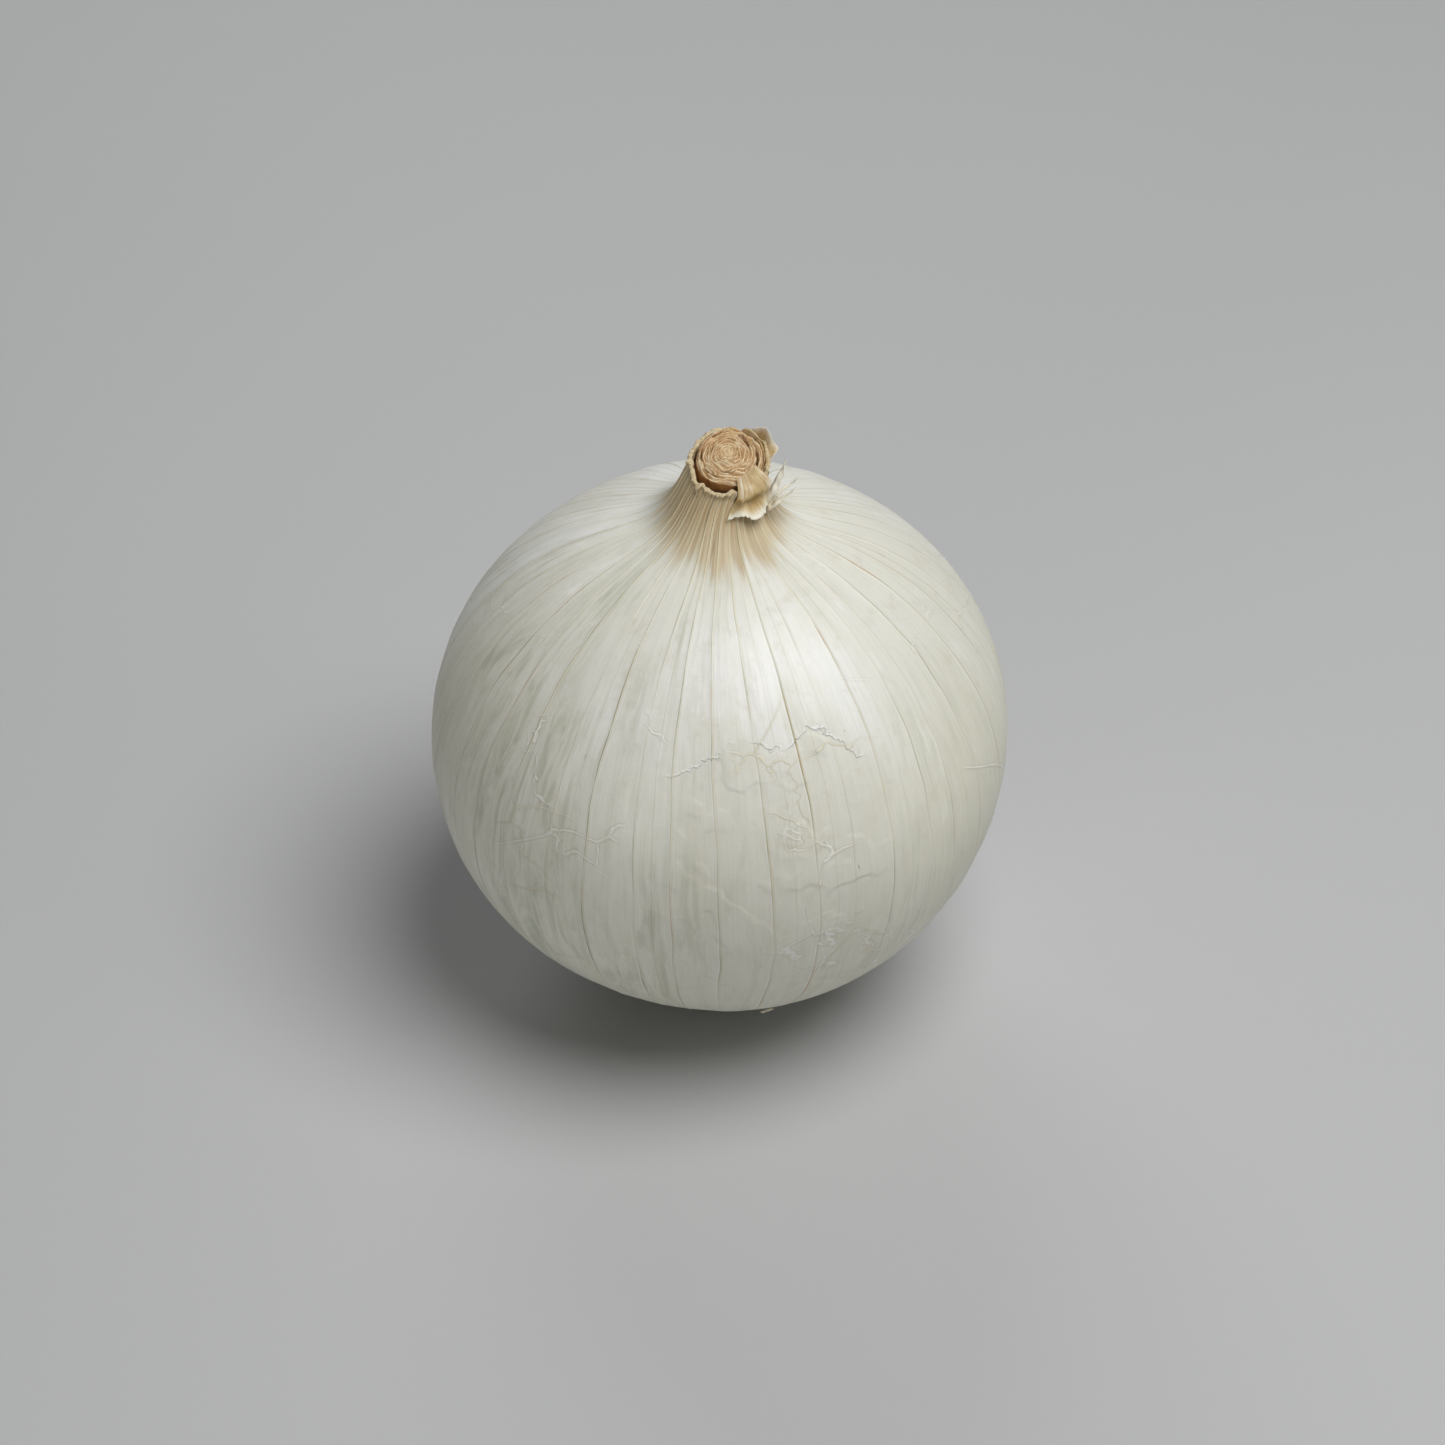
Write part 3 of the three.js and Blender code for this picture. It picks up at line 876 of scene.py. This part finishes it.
def makeFlap():
    # A strip that starts on the core, goes over the rim and down the outside of the collar, and
    # whose hem turns out. Its drop runs smoothly through the listed values from left to right.
    shape = flapShape
    across = np.linspace(0, 1, 120)[None, :]
    down = np.linspace(0, 1, 100)[:, None]
    over = smoothStep(0, 0.42, down)
    fall = np.clip((down - 0.3) / 0.7, 0, 1)
    steps = len(shape["drops"]) - 1
    place = across * steps
    lower = np.minimum(np.floor(place), steps - 1).astype(int)
    drops = np.array(shape["drops"])
    mix = smoothStep(0, 1, place - lower)
    hem = drops[lower] * (1 - mix) + drops[lower + 1] * mix + raggedEdge(61, across * 3, 0.14)
    drop = (hem + 0.3) * fall ** 1.1
    height = rimHeight + 1.35 - 0.75 * over - drop + 0.18 * np.sin(across * 7 + 1) * (1 - fall)
    degrees = shape["from"] + (shape["to"] - shape["from"]) * across
    degrees = degrees - 4.5 * np.exp(-(across / 0.12) ** 2) * fall ** 2
    turn = np.radians(degrees)
    follow = bulbShape["neckRadius"] + flareSpread(np.minimum(height, rimHeight - 0.01))
    radius = shape["start"] + (follow + shape["standOff"] - shape["start"]) * over
    bulge = 0.55 * np.exp(-((fall - 0.22) / 0.24) ** 2) * over
    cup = -0.5 * np.exp(-((across - 0.62) / 0.2) ** 2 - ((fall - 0.5) / 0.26) ** 2)
    fold = 0.4 * np.exp(-((across - 0.1 - 0.1 * fall) / 0.055) ** 2) * smoothStep(0.95, 0.2, fall)
    second = 0.26 * np.exp(-((across - 0.88 + 0.1 * fall) / 0.05) ** 2) * over
    crumple = waves(64, turn * 5, height * 1.1, (1, 4), 0.3, 14) * 0.17
    crumple = crumple + waves(65, turn * 9, height * 1.6, (2, 5), 0.35, 18) * 0.055
    hemTurn = shape["hemTurn"] * smoothStep(0.6, 1.0, fall) ** 1.5
    hemTurn = hemTurn * (0.25 + 0.9 * np.exp(-((across - 0.55) / 0.26) ** 2))
    radius = radius + bulge + cup + fold + second + crumple * over + hemTurn
    points = leanNeck(collarPoint(degrees, radius, height + 0.35 * hemTurn))
    # The third number marks hollows and raised folds, which the material paints as painted shade and
    # painted highlight.
    mark = triple(fall, across, cup + crumple)
    thickness = shape["thickness"] * (1 - 0.5 * smoothStep(0.75, 1, down))
    piece = paperSheet("folded_flap", points[::-1], thickness[::-1], mark[::-1])
    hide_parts("front_flap")
    return piece


curlShape = {
    "from": 78, "to": 170,
    "rise": 1.75,
    "peakAt": 124,            # degrees, where it stands highest
    "tipAt": 101,             # degrees, where it leans out furthest
    "lean": 1.7,
    "thickness": 0.17,
}


def makeCurl():
    # Skin that stands on the rim: it rises with a torn top edge and leans out at its tip.
    shape = curlShape
    across = np.linspace(0, 1, 130)[None, :]
    up = np.linspace(0, 1, 46)[:, None]
    degrees = shape["from"] + (shape["to"] - shape["from"]) * across
    turn = np.radians(degrees)
    tip = np.exp(-np.abs((degrees - shape["tipAt"]) / 9) ** 1.5)
    crest = np.exp(-((degrees - shape["peakAt"]) / 24) ** 2)
    rise = 0.12 + shape["rise"] * crest + 0.35 * tip + raggedEdge(71, across * 3, 0.05)
    depth = 2.4
    height = rimHeight - depth + (rise + depth) * up
    lean = shape["lean"] * tip * up ** 3 + 0.3 * crest * up ** 2
    inward = -0.3 * (1 - crest) * up ** 2
    crumple = waves(73, turn * 3, height, (1, 4), 0.16, 14) * 0.12 * up
    crumple = crumple + waves(74, turn * 5, height, (2, 7), 0.3, 18) * 0.03
    radius = 5.3 + flareSpread(np.minimum(height, rimHeight - 0.01)) * 0.3 + lean + inward + crumple
    points = collarPoint(degrees + 5 * tip * up ** 2, radius, height - 0.45 * lean * up)
    points = leanNeck(points)
    # The third number marks hollows, painted gold as painted shade; the first grows to the top edge,
    # which is painted pale, partly as painted highlight.
    mark = triple(0.14 + 0.78 * up, across, crumple - 0.02)
    thickness = shape["thickness"] * (1 - 0.5 * up)
    piece = paperSheet("rim_curl_skin", points, thickness, mark)
    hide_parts("rim_curl")
    return piece


def alongSheet(tree, mark):
    # The place on a sheet: its share of the way across and along.
    return addNode(tree, "ShaderNodeCombineXYZ", {0: mark[1], 1: mark[0]}).outputs[0]


def makePaperMaterial():
    # Colour: gold and straw in clouds with pale and brown fibres, gold in hollows as painted shade,
    # pale on raised folds as painted highlight, and pale at the torn edge, partly the edge's own
    # colour and partly painted highlight.
    look = dryLook
    material, tree, shader = newMaterial("dry golden skin")
    mark = readParts(tree, "sheetMark")
    spot = objectPlace(tree)
    cloud = stretchedNoise(tree, spot, 340, 3.0, 0.6)
    fibre = stretchedNoise(tree, alongSheet(tree, mark), (13, 2.2, 1), 5.0, 0.6, distortion=0.8)
    grain = stretchedNoise(tree, spot, 2400, 3.0, 0.6)
    color = blend(tree, fade(tree, cloud, 0.4, 0.6), look["paperGold"], look["paperStraw"])
    # Gold in hollows is painted shade, pale on raised folds is painted highlight, and pale at the
    # edge is partly painted highlight.
    for tint, value, low, high, share in (
            ("paperPale", fibre, 0.5, 0.72, 0.38), ("paperBrown", fibre, 0.42, 0.26, 0.3),
            ("paperGold", mark[2], 0.04, -0.32, 0.9), ("paperPale", mark[2], 0.03, 0.2, 0.6),
            ("paperPale", mark[0], 0.76, 0.96, 0.9)):
        color = layer(tree, color, look[tint], fade(tree, value, low, high, 0.0, share))
    relief = timesPlus(tree, grain, 0.04, times(tree, fibre, 0.09))
    finishSurface(tree, shader, color, timesPlus(tree, cloud, 0.2, 0.42), relief,
                  {"Subsurface Weight": 0.1, "Subsurface Scale": 0.0006})
    return material


shreds = [
    # which fixed node it stands for, and how far the strip bows sideways and turns, in mm and degrees
    {"node": "shred_tall", "name": "tall_shred", "base": (6.3, -3.9, 84.0), "tip": (8.8, -0.5, 89.6),
     "width": 1.25, "bow": 0.35, "turn": 15, "seed": 81},
    {"node": "shred_long", "name": "long_shred", "base": (6.5, -3.9, 83.7), "tip": (10.9, -1.0, 86.9),
     "width": 1.1, "bow": -0.4, "turn": 30, "seed": 84},
    {"node": "shred_low", "name": "low_shred", "base": (6.5, -4.3, 83.2), "tip": (10.2, -2.0, 85.9),
     "width": 0.95, "bow": 0.3, "turn": 35, "seed": 87},
]


def makeShred(spec):
    # A strip along a bowed line from base to tip, folded down its middle and pointed at the tip.
    base, tip = np.array(spec["base"]), np.array(spec["tip"])
    along = np.linspace(0, 1, 70)[:, None]
    side = np.linspace(-1, 1, 17)[None, :]
    run = tip - base
    length = np.linalg.norm(run)
    forward = run / length
    out = np.cross(forward, [0, 0, 1.0])
    out = out / np.linalg.norm(out)
    lift = np.cross(out, forward)
    spin = np.radians(spec["turn"] + 70 * (along - 0.5))
    width = spec["width"] / 2 * (0.55 + 0.5 * smoothStep(0, 0.4, along))
    width = width * (1 - smoothStep(0.62, 1.0, along) * 0.88)
    width = width * (1 + raggedEdge(spec["seed"], along * 3 + side, 0.1))
    fold = -0.5 * np.abs(side) * width + 0.05 * np.sin(along * 23 + side * 2)
    bow = spec["bow"] * np.sin(along * math.pi) + 0.12 * np.sin(along * 9 + spec["seed"])
    flat = side * width
    u = flat * np.cos(spin) - fold * np.sin(spin) + bow
    w = flat * np.sin(spin) + fold * np.cos(spin) + 0.35 * np.sin(along * 5)
    points = base + run * along[..., None] + u[..., None] * out + w[..., None] * lift
    thickness = 0.13 * (1 - 0.5 * along)
    piece = paperSheet(spec["name"], points, thickness, triple(along, side, fold))
    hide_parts(spec["node"])
    return piece


def makeShredMaterial():
    # Colour: pale and grey in fibres that run along the shred, with straw at its foot.
    look = dryLook
    material, tree, shader = newMaterial("pale torn skin")
    mark = readParts(tree, "sheetMark")
    fibre = stretchedNoise(tree, alongSheet(tree, mark), (4.5, 1.2, 1), 4.0, 0.7)
    grain = stretchedNoise(tree, objectPlace(tree), 1800, 3.0, 0.6)
    color = blend(tree, fade(tree, fibre, 0.42, 0.66), look["shredPale"], look["shredGrey"])
    color = layer(tree, color, look["paperPale"], fade(tree, grain, 0.5, 0.75, 0.0, 0.5))
    color = layer(tree, color, look["paperStraw"], fade(tree, mark[0], 0.3, 0.0, 0.0, 0.6))
    finishSurface(tree, shader, color, timesPlus(tree, grain, 0.2, 0.5), times(tree, fibre, 0.12))
    return material


flakeShape = {
    "turn": 14.8,             # degrees from the front towards +X
    "radius": 25.9,
    "size": (1.9, 1.5),       # mm across and out
    "thickness": 0.12,
}


def makeFlake():
    # A bit of loose skin low on the front of the bulb: a narrowing strip that leaves the surface
    # along its slope and bends away from it.
    shape = flakeShape
    across = np.linspace(-1, 1, 15)[None, :]
    out = np.linspace(0, 1, 15)[:, None]
    width = shape["size"][0] / 2 * (1 - 0.65 * out ** 1.5) * (1 + 0.12 * np.sin(out * 9))
    away = shape["size"][1] * out
    radius = shape["radius"] + 0.5 - 0.55 * away + 0.12 * across ** 2
    height = bellyHeight(shape["radius"]) - 0.15 - 0.75 * away + 0.1 * np.sin(across * 2.5)
    turn = math.radians(shape["turn"])
    x, y = width * across, -radius
    points = triple(x * math.cos(turn) - y * math.sin(turn),
                    x * math.sin(turn) + y * math.cos(turn), height)
    thickness = np.full(len(out), shape["thickness"])
    return paperSheet("loose_flake", points, thickness, triple(out, across, 0))


rootShape = {
    "radius": 8.2,
    "stubs": 230,
    "stubLength": (1.2, 4.6),
    "stubRadius": (0.2, 0.38),
    "floorGap": 0.02,
}


def makeRootPlate():
    # A low rough cake: flat below, rounded at its edge, pitted where roots were cut.
    columns, rows = 160, 60
    angle = np.linspace(0, fullTurn, columns, endpoint=False)[None, :]
    path = np.linspace(0, 1, rows)[:, None]
    outline = np.array([[0.1, 0.0], [5.0, 0.0], [7.2, 0.05], [8.0, 0.55], [8.1, 1.3], [7.6, 2.0],
                        [6.4, 2.35], [3.0, 2.45], [0.2, 2.45]])
    stops = np.linspace(0, 1, len(outline))
    radius = np.interp(path, stops, outline[:, 0]) * rootShape["radius"] / 8.1
    height = np.interp(path, stops, outline[:, 1])
    lump = waves(91, angle, radius, (4, 22), 0.3, 26) * 0.22
    radius = radius + lump * smoothStep(2, 7, radius)
    pit = np.clip(waves(92, angle, radius, (6, 30), 0.4, 30), 0, 1) * 0.35
    height = height + pit * smoothStep(0.6, 0.0, height) * smoothStep(7.2, 6.0, radius)
    points = triple(radius * np.sin(angle), -radius * np.cos(angle), np.maximum(height, 0.0))
    piece = turnedPiece("root_cake", points)
    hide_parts("root_plate")
    return piece


def makeRootStubs():
    # Each stub is a six-sided tube round a line that leaves the plate, bends out and droops.
    # The tubes are worked out together as one array: stub, step along, corner round.
    shape = rootShape
    dice = np.random.default_rng(95)
    count, steps, sides = shape["stubs"], 7, 6
    turn = dice.uniform(0, fullTurn, count)
    reach = 4.6 + 4.4 * np.sqrt(dice.uniform(0, 1, count))
    length = dice.uniform(*shape["stubLength"], count) * smoothStep(3, 8, reach)
    thick = dice.uniform(*shape["stubRadius"], count)
    share = np.linspace(0, 1, steps)[None, :]
    radius = reach[:, None] - 0.8 + length[:, None] * share
    radius = radius + dice.uniform(-0.4, 0.4, (count, 1)) * np.sin(share * 4)
    bend = turn[:, None] + dice.uniform(-0.35, 0.35, (count, 1)) * share ** 2
    start = dice.uniform(0.5, 1.9, (count, 1))
    droop = dice.uniform(0.2, 1.6, (count, 1))
    height = start - droop * share ** 1.5 + 0.25 * np.sin(share * 5 + turn[:, None])
    under = bellyHeight(radius)
    width = thick[:, None] * (1 - 0.55 * share)
    lowest = width + shape["floorGap"]
    height = np.clip(height, lowest, np.maximum(under - width - 0.05, lowest))
    middle = triple(radius * np.sin(bend), -radius * np.cos(bend), height)
    forward = np.gradient(middle, axis=1)
    forward = forward / np.linalg.norm(forward, axis=2, keepdims=True)
    side = np.cross(forward, [0.0, 0.0, 1.0])
    side = side / np.linalg.norm(side, axis=2, keepdims=True)
    lift = np.cross(side, forward)
    corner = np.linspace(0, fullTurn, sides, endpoint=False)
    ring = np.cos(corner)[:, None] * side[:, :, None] + np.sin(corner)[:, None] * lift[:, :, None]
    tubes = middle[:, :, None] + ring * width[:, :, None, None]
    tubes[..., 2] = np.maximum(tubes[..., 2], 0.0)
    vertices = tubes.reshape(-1, 3)
    block = steps * sides
    one = gridFaces(steps, sides, True)
    faces = (one[None] + np.arange(count)[:, None, None] * block).reshape(-1, 4)
    first = np.arange(count)[:, None] * block
    caps = [(first + np.arange(sides)[None, ::-1]), (first + (steps - 1) * sides + np.arange(sides))]
    allFaces = faces.tolist() + caps[0].tolist() + caps[1].tolist()
    tone = np.repeat(dice.uniform(0, 1, count), block)
    return putMesh("root_stubs", vertices, allFaces, {"stubTone": triple(tone, tone, tone)})


def makeRootMaterial():
    # Colour: tan and dark in clouds and grains, paler by each stub's own tone.
    look = dryLook
    material, tree, shader = newMaterial("dry roots")
    spot = objectPlace(tree)
    tone = readParts(tree, "stubTone")[0]
    cloud = stretchedNoise(tree, spot, 420, 4.0, 0.65)
    grain = stretchedNoise(tree, spot, 2600, 3.0, 0.6)
    color = blend(tree, fade(tree, cloud, 0.35, 0.65), look["rootTan"], look["rootDark"])
    color = layer(tree, color, look["paperStraw"], tone, 0.75)
    color = layer(tree, color, look["rootDark"], fade(tree, grain, 0.55, 0.75, 0.0, 0.6))
    finishSurface(tree, shader, color, timesPlus(tree, grain, 0.2, 0.7), times(tree, grain, 0.25))
    return material


def wear(piece, material):
    # Gives the whole piece one material.
    piece.data.materials.append(material)


print("onion: bulb and skin")
skin = makeSkinMaterial()
wear(makeBulb(), skin)

print("onion: dried core, sheaths, flap and curl")
wear(makeCore(), makeCoreMaterial())
paper = makePaperMaterial()
for number, spec in enumerate(sheaths, start=1):
    wear(makeSheath(number, spec), paper)
wear(makeFlap(), paper)
wear(makeCurl(), paper)

print("onion: shreds and a loose flake")
shredSkin = makeShredMaterial()
for spec in shreds:
    wear(makeShred(spec), shredSkin)
wear(makeFlake(), shredSkin)

print("onion: roots")
rootSkin = makeRootMaterial()
wear(makeRootPlate(), rootSkin)
wear(makeRootStubs(), rootSkin)


studio = {
    "floorSize": 6.0,
    "floorColor": (0.50, 0.505, 0.51),
    "worldColor": (0.90, 0.91, 0.93),
    "worldStrength": 0.055,
}


def makeFloor():
    # One square at z = 0, far wider than the view.
    half = studio["floorSize"] / 2
    mesh = bpy.data.meshes.new("floor")
    corners = [(-half, -half, 0), (half, -half, 0), (half, half, 0), (-half, half, 0)]
    mesh.from_pydata(corners, [], [(0, 1, 2, 3)])
    floor = bpy.data.objects.new("floor", mesh)
    bpy.context.scene.collection.objects.link(floor)
    material, tree, shader = newMaterial("pale studio floor")
    spot = objectPlace(tree)
    cloud = stretchedNoise(tree, spot, 3, 4.0, 0.6)
    pale = studio["floorColor"]
    color = blend(tree, cloud, pale, tuple(part * 0.96 for part in pale))
    rough = timesPlus(tree, cloud, 0.1, 0.6)
    finishSurface(tree, shader, color, rough, times(tree, cloud, 0.02))
    mesh.materials.append(material)


def makeWorld():
    # An even dim sky that fills the shadows.
    world = bpy.data.worlds.new("studio air")
    world.use_nodes = True
    background = world.node_tree.nodes["Background"]
    background.inputs["Color"].default_value = (*studio["worldColor"], 1)
    background.inputs["Strength"].default_value = studio["worldStrength"]
    bpy.context.scene.world = world


lights = [
    # direction from the onion, distance in metres, size in metres, watts, colour
    {"name": "key", "from": (0.34, -0.20, 0.92), "away": 0.95, "size": 0.7, "watts": 8.3,
     "color": (1.0, 0.995, 0.985)},
    {"name": "side", "from": (0.77, -0.30, 0.56), "away": 0.95, "size": 0.34, "watts": 0.35,
     "color": (1.0, 0.995, 0.985)},
    {"name": "low", "from": (-0.45, -0.9, 0.14), "away": 1.1, "size": 0.45, "watts": 1.7,
     "color": (1.0, 0.99, 0.96)},
    {"name": "back", "from": (-0.2, 1.0, 0.5), "away": 1.3, "size": 0.8, "watts": 3.7,
     "color": (0.98, 0.99, 1.0)},
]


def makeLight(spec, aim):
    # A round lamp at aim + direction x distance, facing the aim.
    light = bpy.data.lights.new(spec["name"], "AREA")
    light.shape = "DISK"
    light.size = spec["size"]
    light.energy = spec["watts"]
    light.color = spec["color"]
    lamp = bpy.data.objects.new(spec["name"], light)
    direction = Vector(spec["from"]).normalized()
    lamp.location = aim + direction * spec["away"]
    lamp.rotation_euler = direction.to_track_quat("Z", "Y").to_euler()
    lamp.visible_camera = False
    bpy.context.scene.collection.objects.link(lamp)


view = {
    "elevation": 38.0,        # degrees above the widest level
    "away": 0.6,              # metres from the middle of the bulb
    "lens": 102.3,            # mm on a 36 mm wide sensor
    "aimRight": 0.3,          # mm that the aim is off the bulb's middle, as seen
    "aimUp": 0.8,
}


def makeCamera(middle):
    # Looks down on the middle at the elevation, aimed a little off it as the framing needs.
    tilt = math.radians(view["elevation"])
    forward = Vector((0, math.cos(tilt), -math.sin(tilt)))
    upward = Vector((0, math.sin(tilt), math.cos(tilt)))
    aim = middle + upward * view["aimUp"] * mm + Vector((1, 0, 0)) * view["aimRight"] * mm
    camera = bpy.data.cameras.new("camera")
    camera.lens = view["lens"]
    camera.sensor_width = 36
    camera.clip_end = 20
    stand = bpy.data.objects.new("camera", camera)
    stand.location = middle - forward * view["away"]
    stand.rotation_euler = (aim - stand.location).to_track_quat("-Z", "Y").to_euler()
    bpy.context.scene.collection.objects.link(stand)
    bpy.context.scene.camera = stand


print("onion: studio")
bulbMiddle = Vector((0, 0, bulbShape["equatorHeight"] * mm))
makeFloor()
makeWorld()
for spec in lights:
    makeLight(spec, bulbMiddle)
makeCamera(bulbMiddle)
bpy.context.scene.view_settings.view_transform = "Standard"
